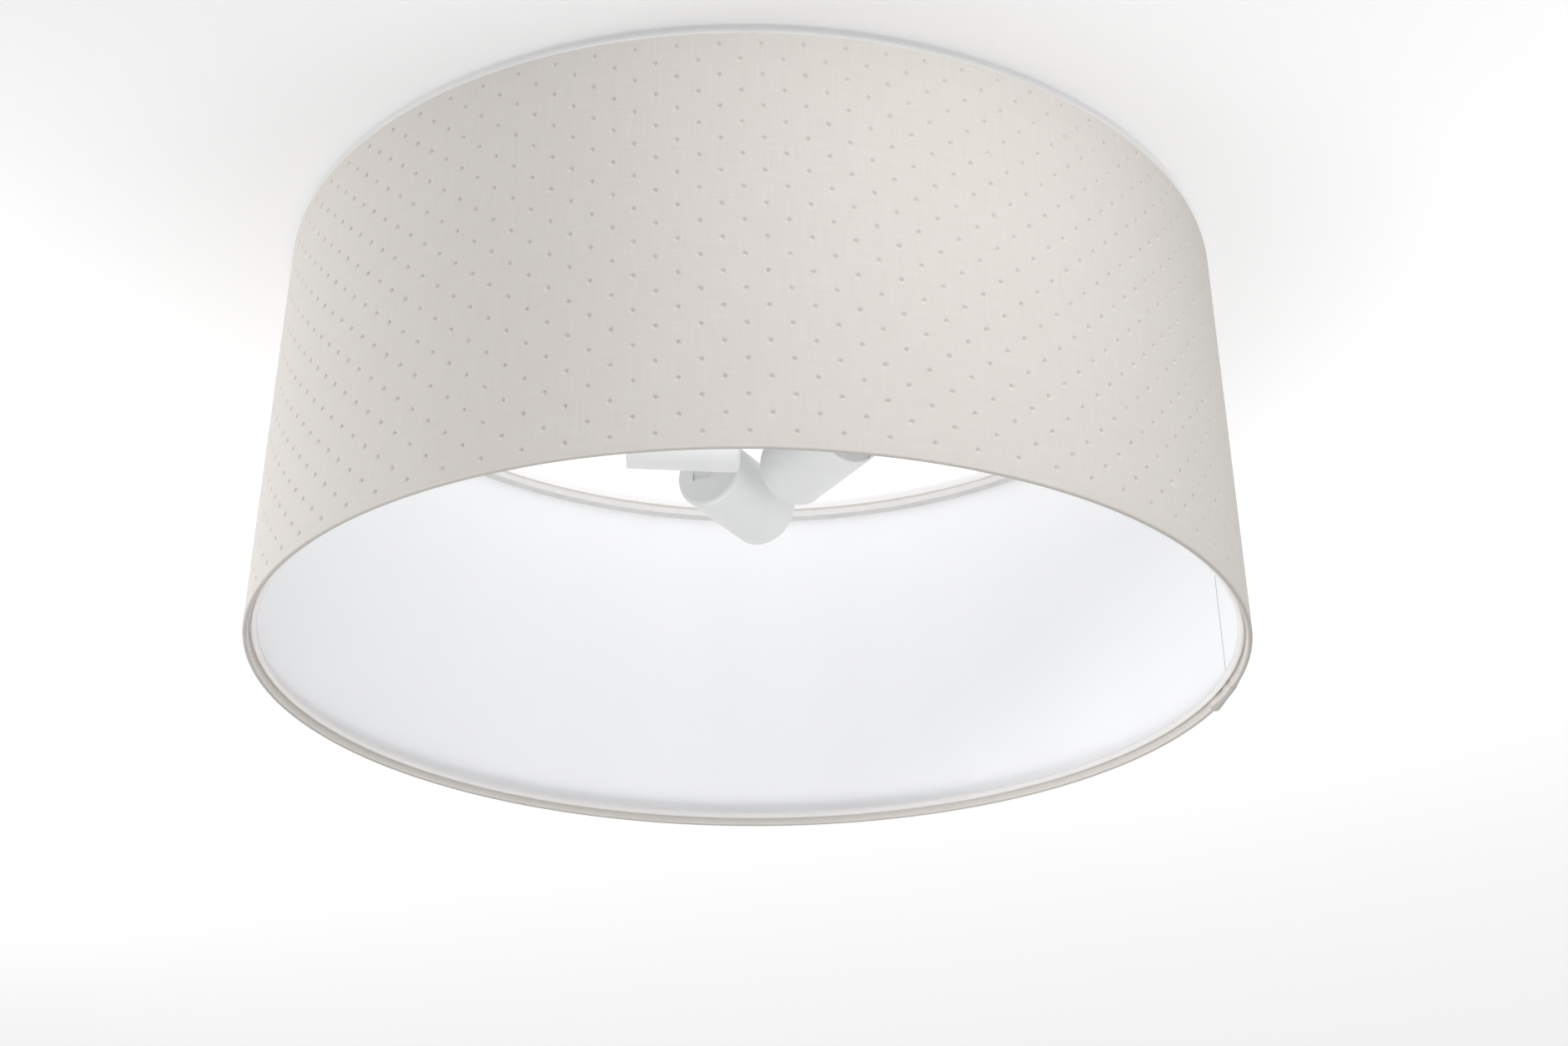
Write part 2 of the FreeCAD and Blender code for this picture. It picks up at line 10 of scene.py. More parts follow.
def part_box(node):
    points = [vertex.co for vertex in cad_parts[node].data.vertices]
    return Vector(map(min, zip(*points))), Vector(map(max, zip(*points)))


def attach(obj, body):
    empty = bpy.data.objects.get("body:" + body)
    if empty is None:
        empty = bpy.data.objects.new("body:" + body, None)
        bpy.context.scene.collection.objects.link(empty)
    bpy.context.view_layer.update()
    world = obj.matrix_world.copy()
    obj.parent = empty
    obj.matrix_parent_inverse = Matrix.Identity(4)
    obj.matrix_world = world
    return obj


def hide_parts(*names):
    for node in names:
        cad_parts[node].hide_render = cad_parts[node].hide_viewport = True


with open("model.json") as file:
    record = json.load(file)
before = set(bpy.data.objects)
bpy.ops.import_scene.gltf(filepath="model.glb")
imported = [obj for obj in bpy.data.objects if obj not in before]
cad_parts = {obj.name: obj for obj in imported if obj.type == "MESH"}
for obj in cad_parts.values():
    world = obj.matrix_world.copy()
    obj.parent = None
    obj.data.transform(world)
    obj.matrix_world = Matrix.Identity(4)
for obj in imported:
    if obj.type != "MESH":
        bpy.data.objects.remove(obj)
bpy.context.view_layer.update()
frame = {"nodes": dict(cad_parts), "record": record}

nodes = frame["nodes"]
scene = bpy.context.scene

# The drum, read from the frame. Heights run up from the bottom rim, insets run in from the wall.
rimLow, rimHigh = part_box("bottom_roll")
topLow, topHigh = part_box("top_roll")
drum = {
    "bottomZ": rimLow[2],
    "height": topHigh[2] - rimLow[2],
    "bottomRadius": (rimHigh[1] - rimLow[1]) / 2,
    "topRadius": (topHigh[1] - topLow[1]) / 2,
    "seamAzimuth": 3.5,  # degrees, near the cover's lap
}
wallDegrees = math.degrees(1 / drum["bottomRadius"])  # per metre along the wall


def wallRadius(height):
    share = height / drum["height"]
    return drum["bottomRadius"] + (drum["topRadius"] - drum["bottomRadius"]) * share


def drumPoint(azimuth, height, inset):
    angle = math.radians(azimuth)
    radius = wallRadius(height) - inset
    return (radius * math.cos(angle), radius * math.sin(angle), drum["bottomZ"] + height)


def smoothStep(low, high, value):
    share = min(max((value - low) / (high - low), 0.0), 1.0)
    return share * share * (3 - 2 * share)


def newPiece(name, verts, faces, body, material, closed=True):
    mesh = bpy.data.meshes.new(name)
    mesh.from_pydata(verts, [], faces)
    if closed:
        bm = bmesh.new()
        bm.from_mesh(mesh)
        bmesh.ops.recalc_face_normals(bm, faces=bm.faces)
        bm.to_mesh(mesh)
        bm.free()
    mesh.shade_smooth()
    mesh.materials.append(material)
    piece = bpy.data.objects.new(name, mesh)
    scene.collection.objects.link(piece)
    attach(piece, body)
    return piece


def gridFaces(columns, rows, wrapColumns=False, wrapRows=False):
    faces = []
    for row in range(rows if wrapRows else rows - 1):
        here = row * columns
        above = (row + 1) % rows * columns
        for column in range(columns if wrapColumns else columns - 1):
            beside = (column + 1) % columns
            faces.append((here + column, here + beside, above + beside, above + column))
    return faces


# Shared shader groups

def newGroup(name, inputs, outputs):
    group = bpy.data.node_groups.new(name, "ShaderNodeTree")
    for label, value in inputs.items():
        socket = group.interface.new_socket(label, in_out="INPUT", socket_type="NodeSocketFloat")
        socket.default_value = value
    for label in outputs:
        group.interface.new_socket(label, in_out="OUTPUT", socket_type="NodeSocketFloat")
    entry = group.nodes.new("NodeGroupInput")
    leave = group.nodes.new("NodeGroupOutput")
    return group, entry, leave


def mathNode(tree, operation, a, b=None, c=None):
    node = tree.nodes.new("ShaderNodeMath")
    node.operation = operation
    for index, value in enumerate((a, b, c)):
        if value is None:
            continue
        if isinstance(value, (int, float)):
            node.inputs[index].default_value = value
        else:
            tree.links.new(value, node.inputs[index])
    return node.outputs[0]


def noiseNode(tree, vector, scale, detail=2.0, roughness=0.5):
    node = tree.nodes.new("ShaderNodeTexNoise")
    node.inputs["Detail"].default_value = detail
    node.inputs["Roughness"].default_value = roughness
    tree.links.new(vector, node.inputs["Vector"])
    if isinstance(scale, (int, float)):
        node.inputs["Scale"].default_value = scale
    else:
        tree.links.new(scale, node.inputs["Scale"])
    return node.outputs["Fac"]


def rangeNode(tree, value, fromLow, fromHigh, toLow=0.0, toHigh=1.0):
    node = tree.nodes.new("ShaderNodeMapRange")
    node.interpolation_type = "SMOOTHSTEP"
    tree.links.new(value, node.inputs["Value"])
    node.inputs["From Min"].default_value = fromLow
    node.inputs["From Max"].default_value = fromHigh
    node.inputs["To Min"].default_value = toLow
    node.inputs["To Max"].default_value = toHigh
    return node.outputs["Result"]


def unrolled(tree):
    # Metres around the drum and metres up it, cut open at the seam
    coords = tree.nodes.new("ShaderNodeTexCoord")
    turn = tree.nodes.new("ShaderNodeVectorRotate")
    turn.rotation_type = "Z_AXIS"
    tree.links.new(coords.outputs["Object"], turn.inputs["Vector"])
    turn.inputs["Angle"].default_value = math.pi - math.radians(drum["seamAzimuth"])
    split = tree.nodes.new("ShaderNodeSeparateXYZ")
    tree.links.new(turn.outputs["Vector"], split.inputs["Vector"])
    azimuth = mathNode(tree, "ARCTAN2", split.outputs["Y"], split.outputs["X"])
    across = mathNode(tree, "MULTIPLY", azimuth, drum["bottomRadius"])
    return across, split.outputs["Z"]


def stretched(tree, across, along, acrossScale, alongScale):
    joined = tree.nodes.new("ShaderNodeCombineXYZ")
    tree.links.new(mathNode(tree, "MULTIPLY", across, acrossScale), joined.inputs["X"])
    tree.links.new(mathNode(tree, "MULTIPLY", along, alongScale), joined.inputs["Y"])
    return joined.outputs["Vector"]


weave = {
    "wanderScale": 45.0,  # per metre, how often the threads stray
    "wander": 9.0,
    "slubLong": 40.0,  # per metre along a thread, and across it
    "slubThin": 700.0,
    "slubDetail": 3.0,
    "crossHeight": 0.25,
    "middleHeight": 0.5,
    "crossTone": 0.12,
    "tone": (0.25, 0.95),  # the darkest and the brightest of it
}


def makeLinenThreads():
    # Plain weave with uneven threads: Height for the bump, Tone for the colour
    defaults = {"Threads": 1100.0, "Slub": 0.6}
    tree, entry, leave = newGroup("linenThreads", defaults, ("Height", "Tone"))
    across, along = unrolled(tree)
    strayed = stretched(tree, across, along, weave["wanderScale"], weave["wanderScale"])
    phase = mathNode(tree, "MULTIPLY", noiseNode(tree, strayed, 1.0), weave["wander"])
    count = mathNode(tree, "MULTIPLY", entry.outputs["Threads"], 2 * math.pi)
    warpTurn = mathNode(tree, "ADD", mathNode(tree, "MULTIPLY", across, count), phase)
    weftTurn = mathNode(tree, "ADD", mathNode(tree, "MULTIPLY", along, count), phase)
    warp = mathNode(tree, "SINE", warpTurn)
    weft = mathNode(tree, "SINE", weftTurn)
    cross = mathNode(tree, "MULTIPLY", warp, weft)
    levelRun = stretched(tree, across, along, weave["slubLong"], weave["slubThin"])
    uprightRun = stretched(tree, across, along, weave["slubThin"], weave["slubLong"])
    level = noiseNode(tree, levelRun, 1.0, weave["slubDetail"])
    upright = noiseNode(tree, uprightRun, 1.0, weave["slubDetail"])
    both = mathNode(tree, "ADD", level, upright)
    slubs = mathNode(tree, "MULTIPLY", both, entry.outputs["Slub"])
    raised = mathNode(tree, "MULTIPLY_ADD", cross, weave["crossHeight"], weave["middleHeight"])
    tree.links.new(mathNode(tree, "ADD", raised, slubs), leave.inputs["Height"])
    bright = mathNode(tree, "MULTIPLY_ADD", cross, weave["crossTone"], slubs)
    tree.links.new(rangeNode(tree, bright, *weave["tone"]), leave.inputs["Tone"])
    return tree


film = {
    "waveAcross": 22.0,  # per metre
    "waveAlong": 1.2,
    "toothShare": 0.2,
}
noiseSpan = (0.3, 0.7)  # most of a noise's values lie in here


def makeFilmWaves():
    # Soft upright waves and a fine tooth, as on laminated lining film
    tree, entry, leave = newGroup("filmWaves", {"Tooth": 1400.0}, ("Height", "Tone"))
    across, along = unrolled(tree)
    waved = stretched(tree, across, along, film["waveAcross"], film["waveAlong"])
    broad = noiseNode(tree, waved, 1.0, detail=1.0)
    tooth = noiseNode(tree, stretched(tree, across, along, 1.0, 1.0), entry.outputs["Tooth"])
    height = mathNode(tree, "MULTIPLY_ADD", tooth, film["toothShare"], broad)
    tree.links.new(height, leave.inputs["Height"])
    tree.links.new(rangeNode(tree, broad, *noiseSpan), leave.inputs["Tone"])
    return tree


def makeFineMottle():
    # Cloudy variation with a fine grain over it
    defaults = {"Scale": 60.0, "Grain": 900.0}
    tree, entry, leave = newGroup("fineMottle", defaults, ("Cloud", "Grain"))
    coords = tree.nodes.new("ShaderNodeTexCoord")
    spot = coords.outputs["Object"]
    cloud = noiseNode(tree, spot, entry.outputs["Scale"], detail=4.0, roughness=0.6)
    grain = noiseNode(tree, spot, entry.outputs["Grain"])
    tree.links.new(rangeNode(tree, cloud, *noiseSpan), leave.inputs["Cloud"])
    tree.links.new(rangeNode(tree, grain, *noiseSpan), leave.inputs["Grain"])
    return tree


wear = {
    "edge": (0.52, 0.62),  # pointiness, from none to full
    "rubPatch": (0.4, 0.65),
    "facing": (0.4, 0.95),  # how far a face looks up
    "dustPatch": (0.3, 0.75),
    "dipTone": 0.93,  # of a solid's own colour
    "rubTone": 1.15,
}


def makeEdgeRub():
    # Worn convex edges, broken up by noise
    tree, entry, leave = newGroup("edgeRub", {"Amount": 0.5, "Scale": 250.0}, ("Mask",))
    geometry = tree.nodes.new("ShaderNodeNewGeometry")
    coords = tree.nodes.new("ShaderNodeTexCoord")
    edge = rangeNode(tree, geometry.outputs["Pointiness"], *wear["edge"])
    noise = noiseNode(tree, coords.outputs["Object"], entry.outputs["Scale"], detail=3.0)
    rubbed = mathNode(tree, "MULTIPLY", edge, rangeNode(tree, noise, *wear["rubPatch"]))
    mask = mathNode(tree, "MULTIPLY", rubbed, entry.outputs["Amount"])
    tree.links.new(mask, leave.inputs["Mask"])
    return tree


def makeTopDust():
    # A thin film of dust on faces that look up
    tree, entry, leave = newGroup("topDust", {"Amount": 0.3, "Scale": 90.0}, ("Mask",))
    geometry = tree.nodes.new("ShaderNodeNewGeometry")
    coords = tree.nodes.new("ShaderNodeTexCoord")
    split = tree.nodes.new("ShaderNodeSeparateXYZ")
    tree.links.new(geometry.outputs["Normal"], split.inputs["Vector"])
    facing = rangeNode(tree, split.outputs["Z"], *wear["facing"])
    noise = noiseNode(tree, coords.outputs["Object"], entry.outputs["Scale"], detail=5.0)
    settled = mathNode(tree, "MULTIPLY", facing, rangeNode(tree, noise, *wear["dustPatch"]))
    mask = mathNode(tree, "MULTIPLY", settled, entry.outputs["Amount"])
    tree.links.new(mask, leave.inputs["Mask"])
    return tree


linenThreads = makeLinenThreads()
filmWaves = makeFilmWaves()
fineMottle = makeFineMottle()
edgeRub = makeEdgeRub()
topDust = makeTopDust()


# Materials

def newMaterial(name):
    material = bpy.data.materials.new(name)
    material.use_nodes = True
    tree = material.node_tree
    return material, tree, tree.nodes["Principled BSDF"]


def useGroup(tree, group, **values):
    node = tree.nodes.new("ShaderNodeGroup")
    node.node_tree = group
    for label, value in values.items():
        node.inputs[label].default_value = value
    return node


def mixColours(tree, factor, first, second):
    node = tree.nodes.new("ShaderNodeMix")
    node.data_type = "RGBA"
    tree.links.new(factor, node.inputs["Factor"])
    for label, value in (("A", first), ("B", second)):
        socket = next(s for s in node.inputs if s.name == label and s.type == "RGBA")
        if isinstance(value, tuple):
            socket.default_value = (*value, 1.0)
        else:
            tree.links.new(value, socket)
    return next(s for s in node.outputs if s.type == "RGBA")


def addBump(tree, shader, height, strength, distance):
    bump = tree.nodes.new("ShaderNodeBump")
    bump.inputs["Strength"].default_value = strength
    bump.inputs["Distance"].default_value = distance
    tree.links.new(height, bump.inputs["Height"])
    tree.links.new(bump.outputs["Normal"], shader.inputs["Normal"])


def clothMaterial(name, look):
    material, tree, shader = newMaterial(name)
    threads = useGroup(tree, linenThreads, Threads=look["threads"], Slub=look["slub"])
    mottle = useGroup(tree, fineMottle, Scale=look["cloudScale"])
    woven = mixColours(tree, threads.outputs["Tone"], look["shadeColour"], look["threadColour"])
    cloud = mathNode(tree, "MULTIPLY", mottle.outputs["Cloud"], look["cloud"])
    clouded = mixColours(tree, cloud, woven, look["cloudColour"])
    coords = tree.nodes.new("ShaderNodeTexCoord")
    split = tree.nodes.new("ShaderNodeSeparateXYZ")
    tree.links.new(coords.outputs["Object"], split.inputs["Vector"])
    # Painted shade: the cloth is darkened over the lowest foldHeight of the drum, along the hem's
    # bottom fold
    foldZ = drum["bottomZ"] + look["foldHeight"]
    fold = rangeNode(tree, split.outputs["Z"], foldZ, foldZ - look["foldHeight"])
    foldShaded = mixColours(tree, fold, clouded, look["foldShadeColour"])  # painted shade along the hem's bottom fold
    tree.links.new(foldShaded, shader.inputs["Base Color"])
    shader.inputs["Roughness"].default_value = look["roughness"]
    shader.inputs["Sheen Weight"].default_value = look["sheen"]
    shader.inputs["Specular IOR Level"].default_value = look["specular"]
    addBump(tree, shader, threads.outputs["Height"], look["bump"], look["bumpHeight"])
    return material


def filmMaterial(name, look):
    material, tree, shader = newMaterial(name)
    waves = useGroup(tree, filmWaves)
    mottle = useGroup(tree, fineMottle, Scale=look["cloudScale"])
    waved = mixColours(tree, waves.outputs["Tone"], look["dipColour"], look["colour"])
    tree.links.new(waved, shader.inputs["Base Color"])
    smooth, dull = look["roughness"]
    rough = rangeNode(tree, mottle.outputs["Cloud"], 0.0, 1.0, smooth, dull)
    tree.links.new(rough, shader.inputs["Roughness"])
    addBump(tree, shader, waves.outputs["Height"], look["bump"], look["bumpHeight"])
    return material


def solidMaterial(name, look):
    # Paint, plastic, fibre and metal: mottled colour, grain, rubbed edges, dust on top
    material, tree, shader = newMaterial(name)
    mottle = useGroup(tree, fineMottle, Scale=look["cloudScale"], Grain=look["grain"])
    rub = useGroup(tree, edgeRub, Amount=look["rub"])
    dust = useGroup(tree, topDust, Amount=look["dust"])
    clouded = mixColours(tree, mottle.outputs["Cloud"], look["dipColour"], look["colour"])
    rubbed = mixColours(tree, rub.outputs["Mask"], clouded, look["rubColour"])
    dusted = mixColours(tree, dust.outputs["Mask"], rubbed, look["dustColour"])
    tree.links.new(dusted, shader.inputs["Base Color"])
    dull = look["roughness"] + look["roughSpread"]
    smooth = look["roughness"] - look["roughSpread"]
    rough = rangeNode(tree, mottle.outputs["Cloud"], 0.0, 1.0, dull, smooth)
    dulled = mathNode(tree, "MULTIPLY_ADD", dust.outputs["Mask"], look["dustRoughness"], rough)
    tree.links.new(dulled, shader.inputs["Roughness"])
    bare = mathNode(tree, "SUBTRACT", 1.0, dust.outputs["Mask"])
    tree.links.new(mathNode(tree, "MULTIPLY", bare, look["metallic"]), shader.inputs["Metallic"])
    addBump(tree, shader, mottle.outputs["Grain"], look["bump"], look["bumpHeight"])
    return material


def solidLook(colour, roughness, metallic=0.0, **changes):
    look = {
        "colour": colour,
        "dipColour": tuple(wear["dipTone"] * tint for tint in colour),
        "rubColour": tuple(min(wear["rubTone"] * tint, 1.0) for tint in colour),
        "roughness": roughness,
        "roughSpread": 0.06,
        "metallic": metallic,
        "cloudScale": 70.0,
        "grain": 1200.0,
        "rub": 0.4,
        "dust": 0.1,
        "dustColour": (0.52, 0.50, 0.47),
        "dustRoughness": 0.4,
        "bump": 0.08,
        "bumpHeight": 0.0002,
    }
    look.update(changes)
    return look


drumFabric = clothMaterial("drumFabric", {
    "threads": 1150.0,  # per metre
    "slub": 0.6,
    "threadColour": (0.704, 0.673, 0.637),
    "shadeColour": (0.647, 0.616, 0.580),
    "cloudColour": (0.671, 0.631, 0.590),
    "cloud": 0.25,
    "cloudScale": 14.0,
    "foldHeight": 0.0011,
    # painted shade for the hem's bottom fold
    "foldShadeColour": (0.44, 0.42, 0.40),
    "roughness": 0.85,
    "sheen": 0.12,
    "specular": 0.2,
    "bump": 0.2,
    "bumpHeight": 0.0004,
})
rimFabric = clothMaterial("rimFabric", {
    "threads": 1500.0,
    "slub": 0.5,
    "threadColour": (0.82, 0.81, 0.80),
    "shadeColour": (0.75, 0.737, 0.725),
    "cloudColour": (0.79, 0.772, 0.757),
    "cloud": 0.2,
    "cloudScale": 30.0,
    "foldHeight": 0.0011,
    "foldShadeColour": (0.44, 0.42, 0.40),
    "roughness": 0.8,
    "sheen": 0.08,
    "specular": 0.2,
    "bump": 0.2,
    "bumpHeight": 0.0004,
})
liningFilm = filmMaterial("liningFilm", {
    "colour": (0.945, 0.95, 0.96),
    "dipColour": (0.935, 0.94, 0.95),
    "cloudScale": 40.0,
    "roughness": (0.44, 0.56),
    "bump": 0.12,
    "bumpHeight": 0.0006,
})
# Grey for the beads' run-out row: painted shade
tapeEdgeShade = solidMaterial("tapeEdgeShade", solidLook((0.62, 0.615, 0.605), 0.7, dust=0.0))
# Dark grey for the lining's lap edge: painted shade
seamShadeLine = solidMaterial("seamShadeLine", solidLook((0.33, 0.335, 0.345), 0.5, dust=0.0))
slotLooks = {
    "white_paint": solidLook((0.80, 0.795, 0.785), 0.38, bump=0.12, dust=0.25),
    "zinc_steel": solidLook((0.60, 0.61, 0.63), 0.34, 1.0, dipColour=(0.47, 0.49, 0.52),
                            cloudScale=140.0, rub=0.6, roughSpread=0.1),
    "knurled_nickel": solidLook((0.68, 0.66, 0.62), 0.26, 1.0, rub=0.8),
    "nickel_shell": solidLook((0.66, 0.64, 0.60), 0.24, 1.0, cloudScale=180.0),
    "brass": solidLook((0.62, 0.44, 0.20), 0.3, 1.0, dipColour=(0.48, 0.33, 0.15), rub=0.7),
    "sleeve_plastic": solidLook((0.82, 0.825, 0.825), 0.36, dipColour=(0.805, 0.81, 0.81),
                                rub=0.2, dust=0.05),
    "socket_plastic": solidLook((0.74, 0.735, 0.72), 0.45),
    "terminal_plastic": solidLook((0.72, 0.71, 0.68), 0.48, bump=0.12),
    "grey_plastic": solidLook((0.24, 0.24, 0.245), 0.45),
    "fibre_washer": solidLook((0.28, 0.13, 0.07), 0.7, bump=0.3),
    "lead_sheath": solidLook((0.72, 0.72, 0.71), 0.4),
}
slotMaterials = {
    "drum_fabric": drumFabric,
    "drum_lining": liningFilm,
    "rim_fabric": rimFabric,
    "seam_film": liningFilm,
}
for slot, look in slotLooks.items():
    first, *others = slot.split("_")
    slotMaterials[slot] = solidMaterial(first + "".join(map(str.title, others)), look)


def dressNodes():
    slots = {part["node"]: part["material_slot"] for part in frame["record"]["subparts"]}
    for name, node in nodes.items():
        node.data.materials.clear()
        node.data.materials.append(slotMaterials[slots[name]])


dressNodes()
print("materials:", len(bpy.data.materials))


# Drum cover: one linen sheet with pressed dimples, folded round both lips and lapped at the seam
cover = {
    "halfColumns": 163,  # dimple lines around the drum
    "lineAzimuth": -97.4,  # a line whose dimples sit on the odd rows, at leanHeight
    "leanHeight": 0.125,
    "lean": -5.8,  # the lines lean, degrees per metre up
    "leanRight": -4.8,  # and lean more beyond these azimuths
    "leanFrom": -85.0,
    "leanTo": -35.0,
    "rowRise": 0.0062,  # the rows climb between these azimuths, less near the top
    "riseFrom": -100.0,
    "riseTo": -20.0,
    "riseTopShare": 0.4,
    "rowStep": 0.010265,
    "firstRow": 0.008835,
    "rows": 24,
    "dimpleRadius": 0.0019,
    "dimpleDepth": 0.0014,
    "dimpleSteps": (-1.25, -0.95, -0.63, -0.31, 0.0, 0.31, 0.63, 0.95, 1.25),  # of its radius
    "proud": 0.00015,
    "lipRadius": 0.00165,
    "lipSteps": 8,
    "foldHeight": 0.0071,  # how far the fold runs back up inside
    "lapWidth": 0.011,
    "lapSteps": (0.0, 0.4, 0.8, 1.0),
    "lapRise": 0.0006,
    "lapLead": 0.02,  # where it starts to rise before the lap
}
lineTurn = 360.0 / cover["halfColumns"]  # degrees between dimple lines


def lipRows():
    # Inner fold and rounded lip: inset, height, and the way out of the cloth
    centre = cover["lipRadius"] - cover["proud"]
    rows = [(centre + cover["lipRadius"], cover["foldHeight"], 1.0, 0.0)]
    for step in range(cover["lipSteps"] + 1):
        angle = math.pi * step / cover["lipSteps"]
        outIn, outUp = math.cos(angle), -math.sin(angle)
        inset = centre + cover["lipRadius"] * outIn
        rows.append((inset, cover["lipRadius"] * (1 + outUp), outIn, outUp))
    return rows


def coverRows():
    rows = [(*row, None) for row in lipRows()]
    for index in range(cover["rows"]):
        middle = cover["firstRow"] + cover["rowStep"] * index
        for step in cover["dimpleSteps"]:
            height = middle + step * cover["dimpleRadius"]
            rows.append((-cover["proud"], height, -1.0, 0.0, index))
    for inset, height, outIn, outUp in reversed(lipRows()):
        rows.append((inset, drum["height"] - height, outIn, -outUp, None))
    return rows


def coverColumns():
    first = math.floor((drum["seamAzimuth"] - 360.0 - cover["lineAzimuth"]) / lineTurn)
    start = cover["lineAzimuth"] + lineTurn * (first + 0.5)
    columns = [(start, None)]
    for index in range(first + 1, first + 1 + cover["halfColumns"]):
        line = cover["lineAzimuth"] + lineTurn * index
        for step in cover["dimpleSteps"]:
            columns.append((line + step * cover["dimpleRadius"] * wallDegrees, index))
    end = start + 360.0
    lap = cover["lapWidth"] * wallDegrees
    columns += [(end + lap * share, None) for share in cover["lapSteps"]]
    return columns, end


def warped(azimuth, height, onWall):
    # The pressed lattice leans and climbs a little round the drum
    beyond = smoothStep(cover["leanFrom"], cover["leanTo"], azimuth)
    lean = cover["lean"] + cover["leanRight"] * beyond
    rise = 0.0
    if onWall:
        upper = smoothStep(drum["height"] / 2, drum["height"], height)
        fade = 1 - (1 - cover["riseTopShare"]) * upper
        rise = cover["rowRise"] * fade * smoothStep(cover["riseFrom"], cover["riseTo"], azimuth)
    return azimuth + lean * (height - cover["leanHeight"]), height + rise


def dimpleDip(azimuth, height, rowIndex, columnIndex):
    # Every other crossing of a row and a line has a dimple
    if rowIndex is None or columnIndex is None or (rowIndex + columnIndex) % 2 == 0:
        return 0.0
    aside = (azimuth - cover["lineAzimuth"] - lineTurn * columnIndex) / wallDegrees
    above = height - cover["firstRow"] - cover["rowStep"] * rowIndex
    reach = min(math.hypot(aside, above) / cover["dimpleRadius"], 1.0)
    return cover["dimpleDepth"] * math.cos(reach * math.pi / 2) ** 2


def makeCover():
    rows = coverRows()
    columns, end = coverColumns()
    lapStart = end - cover["lapLead"] * wallDegrees
    verts = []
    for inset, height, outIn, outUp, rowIndex in rows:
        for azimuth, columnIndex in columns:
            out = cover["lapRise"] * smoothStep(lapStart, end, azimuth)
            out -= dimpleDip(azimuth, height, rowIndex, columnIndex)
            place, level = warped(azimuth, height, rowIndex is not None)
            verts.append(drumPoint(place, level + out * outUp, inset + out * outIn))
    faces = gridFaces(len(columns), len(rows))
    piece = newPiece("drumCover", verts, faces, "shade", drumFabric, closed=False)
    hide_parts("shade_fabric")
    return piece


# Rim beads: cloth tape wrapped over the wire rings, joined to the lining
bead = {
    "out": 0.0042,  # insets from the wall
    "width": 0.0036,
    "webInset": 0.0028,
    "liningInset": 0.0015,
    "recess": 0.0045,  # heights from the rim's edge
    "webHeight": 0.0072,
    "bottomHeight": 0.0044,
    "topHeight": 0.0046,
    "bottomSeed": 3,
    "topSeed": 5,
    "runOut": 0.0012,
    "corner": 0.0003,
    "wobble": 0.00014,
    "waves": 7,
    "waveCounts": (5, 60),  # fewest and most round the drum
    "waveSizes": (0.3, 1.0),
    "columns": 336,
    "arcSteps": 8,
    "edgeRow": 4,  # counted from the end of the profile
}


def beadProfile(beadHeight):
    corner = bead["corner"]
    radius = bead["width"] / 2
    shoulder = bead["out"] + bead["width"]
    over = bead["recess"] + beadHeight
    web = bead["webHeight"]
    lined = bead["liningInset"]
    profile = [(bead["webInset"], web), (bead["out"] - corner, web), (bead["out"], web - corner)]
    for step in range(bead["arcSteps"] + 1):
        angle = math.pi * step / bead["arcSteps"]
        inset = bead["out"] + radius * (1 - math.cos(angle))
        profile.append((inset, bead["recess"] + radius * (1 - math.sin(angle))))
    profile += [
        (shoulder, over - 3 * corner),
        (shoulder - corner, over - corner),
        (shoulder - 3 * corner, over),
        (lined + corner, over + bead["runOut"]),
        (lined - corner, over + bead["runOut"]),
        (lined - corner, web + corner),
    ]
    return profile


def makeBead(name, node, beadHeight, atTop, seed):
    # The row of faces that runs out on the lining is painted grey: painted shade along the tape's
    # edge
    draws = random.Random(seed)
    waves = []
    for _ in range(bead["waves"]):
        count = draws.randint(*bead["waveCounts"])
        phase = draws.uniform(0, 2 * math.pi)
        waves.append((count, phase, draws.uniform(*bead["waveSizes"])))
    verts = []
    profile = beadProfile(beadHeight)
    for inset, height in profile:
        level = drum["height"] - height if atTop else height
        for column in range(bead["columns"]):
            turn = 2 * math.pi * column / bead["columns"]
            swell = sum(size * math.sin(count * turn + phase) for count, phase, size in waves)
            wave = bead["wobble"] * swell / len(waves)
            verts.append(drumPoint(math.degrees(turn), level, inset + wave))
    faces = gridFaces(bead["columns"], len(profile), True, True)
    piece = newPiece(name, verts, faces, "shade", rimFabric)
    piece.data.materials.append(tapeEdgeShade)
    for index, face in enumerate(piece.data.polygons):
        if index // bead["columns"] == len(profile) - bead["edgeRow"]:
            face.material_index = 1
    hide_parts(node)
    return piece


# Where the cover's turned-in hem laps itself on each lip
hemLap = {
    "fromAzimuth": 3.0,
    "toAzimuth": 10.2,
    "steps": 12,
    "thickness": 0.0006,
    "upOutside": 0.0085,
    "lift": 0.001,  # how far its free end stands off
    "liftDegrees": 4.0,
}


def makeHemLap(name, atTop):
    path = lipRows() + [(-cover["proud"], hemLap["upOutside"], -1.0, 0.0)]
    start, end = hemLap["fromAzimuth"], hemLap["toAzimuth"]
    verts = []
    for step in range(hemLap["steps"] + 1):
        azimuth = start + (end - start) * step / hemLap["steps"]
        lifted = smoothStep(end - hemLap["liftDegrees"], end, azimuth)
        rise = hemLap["thickness"] + hemLap["lift"] * lifted
        outside = [(inset + outIn * rise, height + outUp * rise)
                   for inset, height, outIn, outUp in path]
        inside = [(inset, height) for inset, height, outIn, outUp in reversed(path)]
        for inset, height in outside + inside:
            level = drum["height"] - height if atTop else height
            verts.append(drumPoint(azimuth, level, inset))
    count = 2 * len(path)
    faces = gridFaces(count, hemLap["steps"] + 1, True)
    faces += [tuple(range(count)), tuple(range(len(verts) - count, len(verts)))]
    return newPiece(name, verts, faces, "shade", drumFabric)


